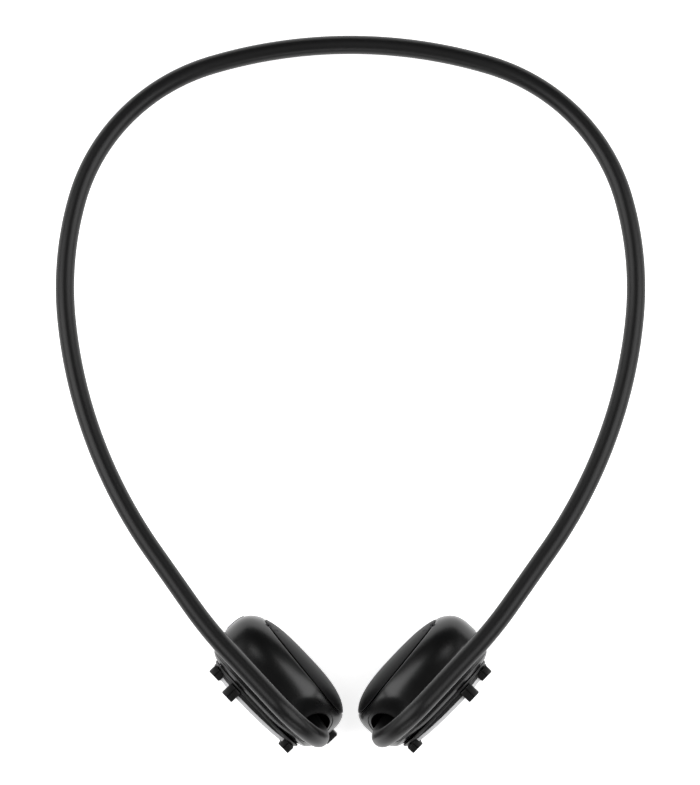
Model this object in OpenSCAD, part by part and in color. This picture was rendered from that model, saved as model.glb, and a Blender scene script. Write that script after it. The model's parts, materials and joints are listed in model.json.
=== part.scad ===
// Bone conduction headphones: a sprung neckband with an ear hook and a sealed sound pod at each end.
// Millimetres. +Z is up as worn, +Y is the back of the head, the right pod is on the -X side.
// The origin is under the middle, on the surface that the rear of the band and the pods rest on.
// A pod's own frame has u from its rear to its front, v from its outside towards the head, and w up.

/* [Band] */
// Outside diameter of the soft sleeve
band_d = 4.7; // [4.2:0.1:5.8]
// Bore of the sleeve, which holds the spring wire and the cable
band_bore_d = 2.9; // [2.8:0.1:3.4]
// Diameter of the titanium spring wire
wire_d = 1.2; // [0.8:0.1:1.3]
// Diameter of the cable that links the two pods
cable_d = 1.0; // [0.6:0.1:1.2]
// Tilt of the band's plane, higher at the ears
band_tilt = 12.4; // [10:0.1:15]
// Distance of the rear of the centreline behind the origin
band_rear = 88.35; // [75:0.05:106]
// Radius of the bend at the nape
nape_r = 119; // [98:1:144]
// Turn of the bend at the nape, from the middle
nape_turn = 17.3; // [14:0.1:20]
// Radius of the bend behind the ear
shoulder_r = 50; // [40:1:60]
// Turn of the bend behind the ear
shoulder_turn = 58; // [50:0.5:62]
// Radius along the side of the neck
flank_r = 86; // [72:1:104]
// Turn along the side of the neck
flank_turn = 21; // [18:0.5:24]
// Radius of the long bend towards the ear
temple_r = 127; // [106:1:153]
// Turn of the long bend towards the ear
temple_turn = 28.8; // [25:0.1:32]
// Straight stretch behind the pod
run_len = 16.5; // [10:0.5:24]
// Radius of the last bend, which brings the band in line with the pod
toe_r = 105; // [80:1:130]
// Straight stretch above the pod
over_len = 17.6; // [15:0.1:21]
// Share of the bend behind the ear that stays with the nape when the band is sprung open
flex_share = 0.5; // [0.3:0.05:0.7]
// Gap round the ball end of the flex joint
flex_gap = 0.3; // [0.25:0.05:0.4]

/* [Ear hook] */
// Radius of the turn down in front of the ear
hook_r = 12.5; // [11.5:0.1:13]
// Lean of the hook towards the head
hook_lean = 4; // [0:0.5:6]
// Turn of the hook's end that lies sunk in the pod
hook_sunk = 100; // [90:1:105]
// Place of the hook's start along the pod
hook_u = 14.8; // [13:0.1:16]
// Place of the hook's start across the pod
hook_v = 7.45; // [6.5:0.05:8.5]
// Radius of the scoop in the pod that the hook comes down into
scoop_r = 4.2; // [3.6:0.1:4.6]
// Wall of the scoop's lining
scoop_wall = 0.9; // [0.7:0.1:1.1]
// Length of the sleeve held inside the pod
tail_len = 1.6; // [1.2:0.1:2.4]

/* [Pod] */
// Angle of the pods to the fore-and-aft line
pod_toe = 46.4; // [40:0.1:52]
// Length of a pod
pod_len = 37.1; // [35:0.1:45]
// Place of a pod's front end along the pod
pod_front = 31.25; // [30.5:0.05:32]
// Height of a pod
pod_high = 24.6; // [23:0.1:28]
// Flat ground off the bottom, which the pod rests on
pod_flat = 0.3; // [0.2:0.05:0.4]
// Outermost and innermost depths of a pod's rounded form
pod_out = 0.7; // [0.2:0.1:0.9]
// Innermost depth of a pod's rounded form
pod_in = 19.6; // [19:0.1:21]
// Depth at which a pod is longest and highest
pod_mid = 10.2; // [9.8:0.1:10.6]
// Flat outer face of the shells, behind the trim
pod_face = 2.2; // [2:0.1:2.6]
// Parting plane between the two shells
part_v = 8.6; // [8.2:0.1:9]
// Depth of the crease behind the contact pad, at the middle of the pod
pad_v = 17.0; // [16.6:0.1:17.4]
// Slant of the crease
pad_tilt = 4; // [0:0.5:5]
// Wall of the shells
wall = 1.4; // [1.2:0.1:1.7]
// Gap left at a parting line
seam = 0.2; // [0.1:0.05:0.3]
// Thickness of the seal between the shells
seal_t = 0.4; // [0.3:0.05:0.6]

/* [Trim] */
// Length of the metal plate
plate_len = 26.4; // [24:0.1:27]
// Height of the metal plate
plate_high = 15; // [13:0.1:15.6]
// Thickness of the metal plate
plate_t = 1.1; // [0.8:0.1:1.4]
// Radius of the plate's and the bezel's curved faces
trim_r = 125; // [100:1:200]
// Width of a retaining clip
clip_len = 3.5; // [3:0.1:4]
// Diameter of a case screw's shank
screw_d = 1.4; // [1.2:0.1:1.6]

/* [Transducer] */
// Diameter of the steel cup
cup_d = 16.8; // [15.5:0.1:17]
// Depth of the steel cup
cup_high = 4.6; // [4.2:0.1:4.8]
// Wall of the steel cup
cup_wall = 2; // [1.6:0.1:2.2]
// Width of the ring gap between the magnet and the cup, in which the voice coil moves
gap_wide = 1.8; // [1.5:0.1:2.2]
// Thickness of the plate behind the contact pad
carrier_t = 0.9; // [0.7:0.1:1.1]

/* [Controls] */
// Travel of a button
press = 0.5; // [0.3:0.05:0.6]
// Clearance round a button
button_gap = 0.15; // [0.1:0.05:0.25]
// Width of the block button at the front
block_wide = 3.6; // [3:0.1:4]
// Height of the block button
block_high = 4.6; // [4:0.1:5]
// How far the block button stands past the front end of the pod
block_proud = 1.75; // [1.4:0.05:2.1]
// Width of a volume button
volume_wide = 5.2; // [4.6:0.1:5.6]
// Height of a volume button
volume_high = 3.2; // [2.8:0.1:3.4]
// How far a volume button stands proud
volume_proud = 0.25; // [0.1:0.05:0.5]
// Width of the charging socket
port_wide = 8.94; // [8.4:0.02:9.2]
// Thickness of the charging socket
port_thick = 3.26; // [2.4:0.02:3.3]
// Margin of the cover round the charging socket
cover_margin = 1.0; // [0.8:0.1:1.2]

/* [Hidden] */

big = 100;
black = [0.05, 0.05, 0.055];
band_r = band_d / 2;
lead_off = 0.75;             // the wire and the cable lie this far below and above the sleeve's centreline

// Shape of the band: each bend is [straight before it, radius, turn, roll before the turn].
turned = 180 - atan(tan(pod_toe) / cos(band_tilt));
toe_turn = turned - nape_turn - shoulder_turn - flank_turn - temple_turn;
hook_rise = asin(sin(turned) * sin(band_tilt));
hook_level = asin(-cos(turned) * sin(band_tilt) / cos(hook_rise));
hook_roll = hook_level + hook_lean - 90;
NAPE = [
    [0, nape_r, nape_turn, 0],
    [0, shoulder_r, shoulder_turn * flex_share, 0]
];
SIDE = [
    [0, shoulder_r, shoulder_turn * (1 - flex_share), 0],
    [0, flank_r, flank_turn, 0],
    [0, temple_r, temple_turn, 0],
    [run_len, toe_r, toe_turn, 0]
];
HOOK_FREE = [[over_len, hook_r, 180 + hook_rise - hook_sunk, hook_roll]];
HOOK_SUNK = [[0, hook_r, hook_sunk, 0]];
TO_HOOK = concat(NAPE, SIDE);
ARM = concat(SIDE, HOOK_FREE, HOOK_SUNK);
TAIL = [[tail_len, 0, 0, 0]];

// End of a run of bends in the band's own plane: [along, across, heading]
function plan(bends, i = 0, x = 0, y = 0, h = 0) =
    i == len(bends) ? [x, y, h] :
    let (b = bends[i], r = b[1], t = b[2], xs = x + b[0] * cos(h), ys = y + b[0] * sin(h))
    plan(bends, i + 1, xs + r * (sin(h + t) - sin(h)), ys + r * (cos(h) - cos(h + t)), h + t);
hook_plan = plan(concat(TO_HOOK, [[over_len, 0, 0, 0]]));
hook_at = [-hook_plan[0], band_rear - hook_plan[1] * cos(band_tilt), 0];

// Form of a pod
pod_rear = pod_front - pod_len;
pod_u = pod_front - pod_len / 2;   // middle of the pod's length
pod_w = pod_high / 2 - pod_flat;
outline_n = 32;
slice_n = 11;
out_power = 3.6;             // squareness of the pod's plan on its outer and inner sides
in_power = 3;
out_power_high = 3.4;        // squareness of its end view on its outer and inner sides
in_power_high = 2.6;
oval_power = 2.4;            // squareness of its side view
slice_v = [for (i = [0 : slice_n])
    let (a = asin((pod_face - pod_mid) / (pod_mid - pod_out)) * (1 - i / slice_n) + 78 * i / slice_n)
    pod_mid + sin(a) * (a < 0 ? pod_mid - pod_out : pod_in - pod_mid)];

function bulge(t, n) = pow(max(0, 1 - pow(abs(t), n)), 1 / n);
function reach(v) = v < pod_mid ? (v - pod_mid) / (pod_mid - pod_out) : (v - pod_mid) / (pod_in - pod_mid);
function half_len(v) = pod_len / 2 * bulge(reach(v), v < pod_mid ? out_power : in_power);
function half_high(v) = pod_high / 2 * bulge(reach(v), v < pod_mid ? out_power_high : in_power_high);
function signed_pow(x, n) = sign(x) * pow(abs(x), n);
function oval(a, b) = [for (i = [0 : outline_n - 1])
    let (t = (i + 0.5) * 360 / outline_n)
    [a * signed_pow(cos(t), 2 / oval_power), b * signed_pow(sin(t), 2 / oval_power)]];

// Places inside a pod
hook_low = hook_plan[1] * sin(band_tilt) + band_r - 2 * hook_r;   // height of the hook's lowest point
screw_at = [[pod_u - 12.1, pod_w + 4], [pod_u - 7.3, pod_w - 7], [pod_front - 5.85, hook_low - 3.7]];
plate_v = 0.5;               // depth of the crown of the metal plate's back
flange_t = 0.8;
boss_r = 1.4;
web_to = [[-1, 0], [0, -1], [1, 0]];
boss_deep = 1.5;             // of the inner shell's bosses, past the parting plane
box_gap = 0.05;
head_r = 1.25;
head_t = 0.8;
carrier_v = pad_v + pod_len / 3 * tan(pad_tilt);
carrier_len = 2 * (half_len(carrier_v) - wall - 0.6);
carrier_high = pod_high / 2 + 0.9;
coil_wall = 0.7;
magnet_d = cup_d - 2 * (cup_wall + gap_wide);
coil_d = magnet_d + gap_wide;
cup_floor = 1.2;
drive_u = -6.3;              // middle of the transducer, from the middle of the pod
coil_top = carrier_t - seam / 2;
stack_gap = 1.3;             // from the carrier to the mouth of the cup
cup_top = coil_top + stack_gap;
cradle_high = 2.2;
cradle_v = pad_v - cup_top + 0.3;
inside_high = half_high(cradle_v) - wall;
inside_len = half_len(cradle_v) - wall;
cradle_t = 1.9 - wall;
ear_reach = inside_high * bulge((drive_u - 2.3) / inside_len, oval_power) - 0.2;
pole_t = 1;
block_front = pod_front + block_proud;
block_deep = 7;
block_v = 9.2;
block_w = 5.6;
volume_v = 12;
volume_w = [pod_w - 3.9, pod_w - 8.1];
volume_out = 2.2;            // a volume button's room, outside and inside the pod's rear end
volume_in = 6.85;
port_u = pod_front - 12.25;
port_v = 6.4;
port_floor = 3.2;            // height of the charging socket's mouth
port_deep = 5;
board_v = pod_face + 2.4;
mic_at = [pod_rear + 6.55, 17.7, pod_w + 5];
mic_r = 0.78;
light_r = 0.53;
light_at = [pod_rear + 8.95, 18.2, pod_w + 5.4];

// Sweep of the band
band_sag = 0.08;             // the most that a chord of the band may cut its curve
sleeve_n = 14;
lead_n = 8;
start_frame = [               // a frame on the band is [place, heading, side, up, roll so far]
    [0, band_rear, band_r], [-1, 0, 0],
    [0, -cos(band_tilt), sin(band_tilt)], [0, sin(band_tilt), cos(band_tilt)], 0
];
flex_frame = end_frame(NAPE, start_frame);
nape_frames = frames(NAPE, start_frame);
socket_r = band_r + flex_gap;
ball_r = band_r - 0.05;
ball_end = acos(band_bore_d / 2 / (band_r - 0.15));

// ---- frames ----

module right() children();
module left() mirror([1, 0, 0]) children();
module from_nape() translate([0, band_rear, band_r])
    rotate([-band_tilt, 0, 0]) rotate([0, 0, 180]) children();
module in_pod() translate(hook_at) rotate([0, 0, -pod_toe]) translate([-hook_u, -hook_v, 0]) children();
// z runs from the back of the contact pad out towards the trim, y is up
module in_drive() in_pod() translate([pod_u, pad_v, pod_w]) rotate([90, 0, -pad_tilt]) children();

// Moves children to the end of a run of bends
module follow(bends, i = 0) {
    if (i == len(bends)) children();
    else translate([bends[i][0], 0, 0]) rotate([bends[i][3], 0, 0]) translate([0, bends[i][1], 0])
        rotate([0, 0, bends[i][2]]) translate([0, -bends[i][1], 0]) follow(bends, i + 1) children();
}

// Sweeps a disc along a run of bends
module sweep_disc(bends, r, i = 0) {
    if (i < len(bends)) {
        b = bends[i];
        translate([b[0], 0, 0]) rotate([b[3], 0, 0]) translate([0, b[1], 0]) {
            rotate([0, 0, -90]) rotate_extrude(angle = b[2], $fn = 48)
                translate([b[1], 0]) circle(r = r, $fn = 20);
            rotate([0, 0, b[2]]) translate([0, -b[1], 0]) sweep_disc(bends, r, i + 1);
        }
    }
}

function ahead(f, d) = [f[0] + d * f[1], f[1], f[2], f[3], f[4]];
function roll(f, a) = [f[0], f[1], cos(a) * f[2] + sin(a) * f[3], cos(a) * f[3] - sin(a) * f[2], f[4] + a];
function turn(f, r, a) = [
    f[0] + r * sin(a) * f[1] + r * (1 - cos(a)) * f[2],
    cos(a) * f[1] + sin(a) * f[2], cos(a) * f[2] - sin(a) * f[1], f[3], f[4]
];
function bend_start(f, b) = roll(ahead(f, b[0]), b[3]);
function bend_end(f, b) = turn(bend_start(f, b), b[1], b[2]);
function end_frame(bends, f, i = 0) = i == len(bends) ? f : end_frame(bends, bend_end(f, bends[i]), i + 1);
function steps(b) = b[2] > 0 ? ceil(b[2] / (2 * acos(1 - band_sag / b[1]))) : 0;
// Frames along a run of bends, the first bend starting after an angle of skip
function frames(bends, f, skip = 0, i = 0) =
    i == len(bends) ? [] :
    let (b = bends[i], g = bend_start(f, b), n = steps(b))
    concat(
        [for (k = [(i == 0 || b[0] > 0 ? 0 : 1) : 1 : n])
            turn(g, b[1], skip + (b[2] - skip) * k / max(n, 1))],
        frames(bends, bend_end(f, b), 0, i + 1)
    );

// A ring of n points round a frame, its centre set off sideways and upwards before any roll
function loop(f, r, n, side = 0, up = 0) =
    let (y = cos(f[4]) * f[2] - sin(f[4]) * f[3], z = sin(f[4]) * f[2] + cos(f[4]) * f[3])
    [for (j = [0 : n - 1]) f[0] + (side + r * cos(360 * j / n)) * y + (up + r * sin(360 * j / n)) * z];
function flipped(rings) = [for (ring = rings) [for (p = ring) [-p[0], p[1], p[2]]]];
function backwards(list) = [for (i = [len(list) - 1 : -1 : 0]) list[i]];
function both_halves(rings) = concat(backwards(flipped([for (i = [1 : len(rings) - 1]) rings[i]])), rings);
function flat(list) = [for (a = list) for (b = a) b];
function quad(a, b, c, d) = [[a, b, c], [a, c, d]];

// A closed tube between outer and inner rings, or a solid rod where there are no inner rings
module tube(outer, inner = []) {
    n = len(outer[0]);
    m = len(outer);
    q = len(inner);
    k = m * n;
    outside = [for (i = [0 : m - 2]) for (j = [0 : n - 1])
        quad(i * n + j, i * n + n + j, i * n + n + (j + 1) % n, i * n + (j + 1) % n)];
    inside = q < 2 ? [] : [for (i = [0 : q - 2]) for (j = [0 : n - 1])
        quad(k + i * n + j, k + i * n + (j + 1) % n, k + i * n + n + (j + 1) % n, k + i * n + n + j)];
    ends = q < 2 ? [] : [for (j = [0 : n - 1])
        each [quad(j, (j + 1) % n, k + (j + 1) % n, k + j),
            quad(k - n + j, k + q * n - n + j, k + q * n - n + (j + 1) % n, k - n + (j + 1) % n)]];
    caps = q < 2 ? [[for (j = [0 : n - 1]) j], [for (j = [0 : n - 1]) k - 1 - j]] : [];
    polyhedron(flat(concat(outer, inner)), concat(flat(concat(outside, inside, ends)), caps));
}

// ---- band ----

function arc_of(d) = d / shoulder_r * 180 / PI;
function reach_past(r) = sqrt(pow(socket_r, 2) - pow(r, 2));

module rear_band_sleeve() color([0.1, 0.1, 0.105]) {
    ball = [for (k = [1 : 4]) let (a = ball_end * k / 4)
        loop(turn(flex_frame, shoulder_r, arc_of(ball_r * sin(a))), ball_r * cos(a), sleeve_n)];
    mouth = [loop(turn(flex_frame, shoulder_r, arc_of(ball_r * sin(ball_end))), band_bore_d / 2, sleeve_n)];
    tube(
        both_halves(concat([for (f = nape_frames) loop(f, band_r, sleeve_n)], ball)),
        both_halves(concat([for (f = nape_frames) loop(f, band_bore_d / 2, sleeve_n)], mouth))
    );
}

module arm_sleeve() color([0.1, 0.1, 0.105]) {
    run = concat(ARM, TAIL);
    outer = frames(run, flex_frame, arc_of(reach_past(band_r)));
    inner = frames(run, flex_frame, arc_of(reach_past(band_bore_d / 2)));
    tube([for (f = outer) loop(f, band_r, sleeve_n)], [for (f = inner) loop(f, band_bore_d / 2, sleeve_n)]);
}

module nape_lead(d, up) tube(both_halves([for (f = nape_frames) loop(f, d / 2, lead_n, 0, up)]));
module arm_lead(d, up, extra) {
    run = frames(concat(ARM, [[tail_len + extra, 0, 0, 0]]), flex_frame, arc_of(socket_r));
    tube([for (f = run) loop(f, d / 2, lead_n, 0, up)]);
}
module rear_spring_wire() color("silver") nape_lead(wire_d, -lead_off);
module rear_link_cable() color([0.3, 0.1, 0.1]) nape_lead(cable_d, lead_off);
module spring_wire() color("silver") arm_lead(wire_d, -lead_off, 2.4);
module link_cable() color([0.3, 0.1, 0.1]) arm_lead(cable_d, lead_off, 0.3);

module at_tail() from_nape() follow(concat(NAPE, ARM)) children();

module strain_relief() color([0.08, 0.08, 0.08]) at_tail() {
    difference() {
        rotate([0, -90, 0]) cylinder(r1 = band_r + 1, r2 = band_r + 0.5, h = 1.4, $fn = 48);
        rotate([0, -90, 0]) translate([0, 0, -1]) cylinder(r = band_r + 0.3, h = 4, $fn = 48);
    }
}

// Crimped on the end of the spring wire, which leaves the sleeve off its middle
module wire_clamp() color("silver") at_tail()
    translate([tail_len + 0.4, -lead_off * sin(hook_roll), -lead_off * cos(hook_roll)]) difference() {
        translate([0, -0.9, -0.9]) cube([1.8, 1.8, 1.8]);
        translate([-1, 0, 0]) rotate([0, 90, 0]) cylinder(d = wire_d + 0.04, h = 4, $fn = 32);
    }

// ---- pod form ----

function slice(v, inset) = [for (p = oval(half_len(v) - inset, half_high(v) - inset))
    [pod_u + p[0], v, pod_w + p[1]]];

module form(inset) for (i = [0 : slice_n - 1]) hull()
    polyhedron(
        concat(slice(slice_v[i], inset), slice(slice_v[i + 1], inset)),
        [[for (j = [0 : outline_n - 1]) j], [for (j = [0 : outline_n - 1]) outline_n + j]]
    );

module slab(v0, v1) translate([-big, v0, 0]) cube([2 * big, v1 - v0, big]);
module headward(gap) translate([pod_u, pad_v, 0]) rotate([0, 0, -pad_tilt])
    translate([-big, gap, -big]) cube([2 * big, big, 2 * big]);

// The space that the hook comes down into, in the world frame
module scoop(r) from_nape() follow(concat(TO_HOOK, HOOK_FREE)) sweep_disc(HOOK_SUNK, r);
module unpod() translate([hook_u, hook_v, 0]) rotate([0, 0, pod_toe]) translate(-hook_at) children();

module stadium(length, high) {
    square([length - high, high], center = true);
    for (s = [-1, 1]) translate([s * (length - high) / 2, 0]) circle(d = high, $fn = 64);
}

// The room that a button takes, or its window with a gap round it and its travel behind it
module block_space(gap, travel) let (deep = block_deep + travel)
    translate([block_front - deep, block_v - block_wide / 2 - gap, block_w - block_high / 2 - gap])
    cube([deep + travel, block_wide + 2 * gap, block_high + 2 * gap]);
module volume_space(w, gap, travel)
    translate([pod_rear - volume_out, volume_v - volume_wide / 2 - gap, w - volume_high / 2 - gap])
    cube([volume_out + volume_in + travel, volume_wide + 2 * gap, volume_high + 2 * gap]);
module cover_space(gap, depth) let (edge = 2 * (cover_margin + gap))
    translate([port_u, port_v, -1]) linear_extrude(depth + 1)
        square([port_wide + edge, port_thick + edge], center = true);

module socket_space(gap) translate([port_u, port_v, port_floor - gap])
    linear_extrude(port_deep + 2 * gap) stadium(port_wide + 2 * gap, port_thick + 2 * gap);

// ---- shells ----

module screw_run(r, v0, v1) for (p = screw_at) translate([p[0], v0, p[1]]) rotate([-90, 0, 0])
    cylinder(r = r, h = v1 - v0, $fn = 20);

// Webs that tie the inner shell's bosses to its wall
module boss_webs() for (i = [0 : len(screw_at) - 1]) hull() for (d = [0, 8])
    let (at = screw_at[i] + d * web_to[i]) translate([at[0], part_v, at[1]]) rotate([-90, 0, 0])
        cylinder(r = 0.6, h = boss_deep + 1, $fn = 16);

module outer_shell(controls) color(black) in_pod() difference() {
    union() {
        difference() {
            intersection() {
                form(0);
                slab(pod_face, part_v - seal_t / 2);
            }
            intersection() {
                form(wall);
                slab(pod_face + wall, part_v);
            }
        }
        intersection() {
            form(wall / 2);
            slab(pod_face + wall / 2, part_v - seal_t / 2);
            screw_run(boss_r, pod_face, part_v);
        }
    }
    screw_run(screw_d / 2 + 0.05, 0, part_v);
    screw_run(head_r + 0.1, 0, pod_face + head_t + 0.1);
    unpod() scoop(scoop_r + scoop_wall);
    if (controls) {
        block_space(button_gap, press + button_gap);
        cover_space(button_gap, port_floor + box_gap);
        socket_space(box_gap);
    }
}

module inner_shell(controls) color(black) in_pod() difference() {
    union() {
        difference() {
            intersection() {
                form(0);
                slab(part_v + seal_t / 2, big);
            }
            form(wall);
        }
        intersection() {
            form(wall / 2);
            slab(part_v + seal_t / 2, part_v + boss_deep);
            union() {
                screw_run(boss_r, part_v, part_v + boss_deep + 1);
                boss_webs();
            }
        }
    }
    headward(-seam / 2);
    sensor_holes();
    screw_run(screw_d / 2, part_v - 1, part_v + boss_deep + 1);
    unpod() scoop(scoop_r + scoop_wall);
    if (controls) {
        block_space(button_gap, press + button_gap);
        cover_space(button_gap, port_floor + box_gap);
        socket_space(box_gap);
        for (w = volume_w) volume_space(w, button_gap, press + button_gap);
    }
}

module shell_seal(controls) color([0.15, 0.15, 0.16]) in_pod() difference() {
    intersection() {
        form(0.25);
        slab(part_v - seal_t / 2, part_v + seal_t / 2);
    }
    form(wall);
    screw_run(screw_d / 2, 0, part_v + seal_t);
    unpod() scoop(scoop_r + scoop_wall);
    if (controls) {
        block_space(button_gap, press + button_gap);
        cover_space(button_gap, port_floor + box_gap);
        socket_space(box_gap);
    }
}

// The microphone's and the status light's holes, behind and through the edge of the contact pad
module sensor(at, r, length, top = 0.25) translate(at) rotate([-40, -25, 0]) translate([0, 0, top - length])
    cylinder(r = r, h = length, $fn = 24);
module sensor_holes() {
    sensor(mic_at, mic_r + 0.02, 4, 3);
    sensor(light_at, light_r + 0.02, 4, 3);
}

module contact_pad() color([0.09, 0.09, 0.095]) in_pod() difference() {
    intersection() {
        form(0);
        headward(seam / 2);
        slab(0, big);
    }
    sensor_holes();
}

// Lining of the scoop, closed behind by the wall that grips the sleeve
module hook_socket() color([0.03, 0.03, 0.03]) difference() {
    intersection() {
        union() {
            scoop(scoop_r + scoop_wall);
            at_tail() rotate([0, 90, 0]) cylinder(r = scoop_r + scoop_wall, h = 1, $fn = 20);
        }
        in_pod() form(0.05);
    }
    scoop(scoop_r);
    at_tail() rotate([0, 90, 0]) translate([0, 0, -1]) cylinder(r = band_r + 0.02, h = 4, $fn = 28);
}

// ---- trim ----

module arched(length, high, v_face, v_back) intersection() {
    translate([pod_u + 0.5, v_back, pod_w]) rotate([90, 0, 0])
        linear_extrude(v_back - v_face + 1) stadium(length, high);
    translate([10, v_face + trim_r, -big / 2]) cylinder(r = trim_r, h = big, $fn = 360);
}

module trim_bezel() color(black) in_pod() difference() {
    union() {
        translate([pod_u + 0.2, pod_face, pod_w]) rotate([90, 0, 0])
            linear_extrude(flange_t) stadium(plate_len + 3.2, plate_high + 2.4);
        arched(plate_len + 1.2, plate_high + 1.2, plate_v, pod_face - flange_t + 0.1);
    }
}

module plate_body() arched(plate_len, plate_high, plate_v - plate_t, pod_face - flange_t);
module trim_plate() color([0.8, 0.81, 0.83]) in_pod() difference() {
    plate_body();
    arched(plate_len + 3, plate_high + 3, plate_v, 4);
}

module clip(u, w, v_face) difference() {
    translate([u - clip_len / 2, v_face, w - 1.4]) cube([clip_len, 1.4 - v_face, 2.8]);
    arched(plate_len + 0.04, plate_high + 0.04, plate_v - plate_t, 1.6);
    arched(plate_len + 1.24, plate_high + 1.24, plate_v, 1.6);
    translate([u - 0.2, v_face - 1, w + 0.8]) cube([0.4, 5, 1]);
}

module trim_clips() color(black) in_pod() {
    clip(0.4, 16.2, -0.8);
    clip(6.3, 19.4, -1.9);
    clip(25.4, 16.2, -0.75);
}

module case_screws() color("silver") in_pod() for (p = screw_at)
    translate([p[0], pod_face, p[1]]) rotate([-90, 0, 0]) difference() {
        union() {
            cylinder(r = head_r, h = head_t, $fn = 32);
            cylinder(d = screw_d - 0.1, h = part_v + boss_deep - 0.2 - pod_face, $fn = 32);
        }
        translate([0, 0, -1]) cylinder(r = 0.4, h = 1.5, $fn = 6);
    }

// ---- transducer ----

module pad_carrier() color([0.2, 0.2, 0.2]) in_drive() translate([0, 0, -seam / 2])
    linear_extrude(carrier_t) stadium(carrier_len, carrier_high);

module drive_ring(outer, bore, z, high) in_drive() translate([drive_u, 0, z]) difference() {
    cylinder(d = outer, h = high, $fn = 64);
    if (bore > 0) translate([0, 0, -1]) cylinder(d = bore, h = high + 2, $fn = 64);
}

module voice_coil() color([0.72, 0.42, 0.2])
    drive_ring(coil_d + coil_wall, coil_d - coil_wall, coil_top, stack_gap + cup_high - cup_floor - 0.6);
module pole_plate() color("silver") drive_ring(magnet_d + 0.4, 0, cup_top, pole_t);
module magnet() color([0.55, 0.56, 0.58])
    drive_ring(magnet_d, 0, cup_top + pole_t, cup_high - cup_floor - pole_t);
module magnet_cup() color([0.62, 0.62, 0.64]) difference() {
    drive_ring(cup_d, 0, cup_top, cup_high);
    drive_ring(cup_d - 2 * cup_wall, 0, cup_top - 1, cup_high - cup_floor + 1);
}
module suspension_spring() color([0.75, 0.72, 0.6]) in_drive() translate([drive_u, 0, cup_top - 0.3])
    linear_extrude(0.3) {
        difference() {
            circle(d = cup_d - 0.2, $fn = 64);
            circle(d = cup_d - 2, $fn = 64);
        }
        difference() {
            circle(d = coil_d + coil_wall + 1.6, $fn = 64);
            circle(d = coil_d + coil_wall, $fn = 64);
        }
        for (a = [0 : 120 : 240]) rotate(a) translate([coil_d / 2 + 0.7, -0.6])
            square([cup_d / 2 - coil_d / 2 - 1.2, 1.2]);
    }
module transducer_cradle() color([0.25, 0.25, 0.26]) {
    drive_ring(cup_d + 2 * cradle_t, cup_d + 0.02, cup_top + 0.4, cradle_high);
    for (a = [0, 180]) in_drive() translate([drive_u, 0, cup_top + 0.4]) rotate(a)
        translate([-1.5, cup_d / 2 + 0.1, 0]) cube([3, ear_reach - cup_d / 2 - 0.1, cradle_high]);
}

// ---- electronics ----

module microphone() color([0.3, 0.3, 0.3]) in_pod() difference() {
    sensor(mic_at, mic_r, 0.7);
    sensor(mic_at, 0.3, 1, 0.9);
}
module status_light() color([0.7, 0.75, 0.8]) in_pod() sensor(light_at, light_r, 0.5);

module box_at(lo, hi) translate(lo) cube(hi - lo);
module main_board() color([0.05, 0.3, 0.15]) in_pod()
    box_at([pod_u - 10.6, board_v, pod_w - 5.4], [pod_u + 1.2, board_v + 0.8, pod_w + 7.4]);
module board_chips() color([0.1, 0.1, 0.1]) in_pod() {
    for (c = [[-9.3, 0.4, 5, 5, 1], [-2.7, 1, 3.6, 3, 0.8], [-8.7, -5, 3, 3, 0.9], [-3.6, -5, 4.6, 3.4, 1.8]])
        translate([pod_u + c[0], board_v + 0.8, pod_w + c[1]]) cube([c[2], c[4], c[3]]);
}
module battery() color([0.75, 0.76, 0.78]) in_pod()
    box_at([pod_u - 10.3, pod_face + 1.7, pod_w - 5.4], [pod_u + 2.2, pod_face + 5.4, pod_w + 6.6]);
module link_board() color([0.05, 0.3, 0.15]) in_pod()
    box_at([pod_u - 9.7, pod_face + 5.6, pod_w - 5], [pod_u - 0.7, pod_face + 6.3, pod_w + 5]);

module charging_socket() color("silver") in_pod() translate([port_u, port_v, port_floor]) difference() {
    linear_extrude(port_deep) stadium(port_wide, port_thick);
    translate([0, 0, -1]) linear_extrude(port_deep) stadium(port_wide - 0.6, port_thick - 0.6);
}
module port_cover() color([0.08, 0.08, 0.085]) in_pod() {
    difference() {
        intersection() {
            form(0);
            cover_space(0, port_floor - box_gap);
            slab(0, big);
        }
        form(1.2);
    }
    translate([port_u, port_v, 1]) linear_extrude(port_floor - 0.5) stadium(port_wide - 1, port_thick - 1);
}

module multifunction_button() color(black) in_pod() block_space(0, 0);
module volume_button(w) color(black) in_pod() difference() {
    intersection() {
        form(-volume_proud);
        volume_space(w, 0, 0);
    }
    form(wall);
}
module button_switches() color([0.35, 0.35, 0.36]) in_pod() {
    box_at([block_front - 8.8, block_v - 1, block_w - 0.6],
        [block_front - block_deep - press - box_gap, block_v + 1.6, block_w + 1.6]);
    box_at([pod_rear + 3, 9, volume_w[0] - 0.8], [pod_rear + 3.55, 10.2, volume_w[0] + 0.8]);
    box_at([pod_rear + 7.4, 9, volume_w[1] - 0.3], [pod_rear + 7.95, 10.2, volume_w[1] + 0.9]);
}

// ---- the assembly ----

rear_band_sleeve();
rear_spring_wire();
rear_link_cable();
right() arm_sleeve();  // right_arm_sleeve
left() arm_sleeve();  // left_arm_sleeve
right() spring_wire();  // right_spring_wire
left() spring_wire();  // left_spring_wire
right() link_cable();  // right_link_cable
left() link_cable();  // left_link_cable
right() strain_relief();  // right_strain_relief
left() strain_relief();  // left_strain_relief
right() hook_socket();  // right_hook_socket
left() hook_socket();  // left_hook_socket
right() wire_clamp();  // right_wire_clamp
left() wire_clamp();  // left_wire_clamp
right() outer_shell(true);  // right_outer_shell
left() outer_shell(false);  // left_outer_shell
right() inner_shell(true);  // right_inner_shell
left() inner_shell(false);  // left_inner_shell
right() shell_seal(true);  // right_shell_seal
left() shell_seal(false);  // left_shell_seal
right() contact_pad();  // right_contact_pad
left() contact_pad();  // left_contact_pad
right() trim_bezel();  // right_trim_bezel
left() trim_bezel();  // left_trim_bezel
right() trim_plate();  // right_trim_plate
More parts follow.
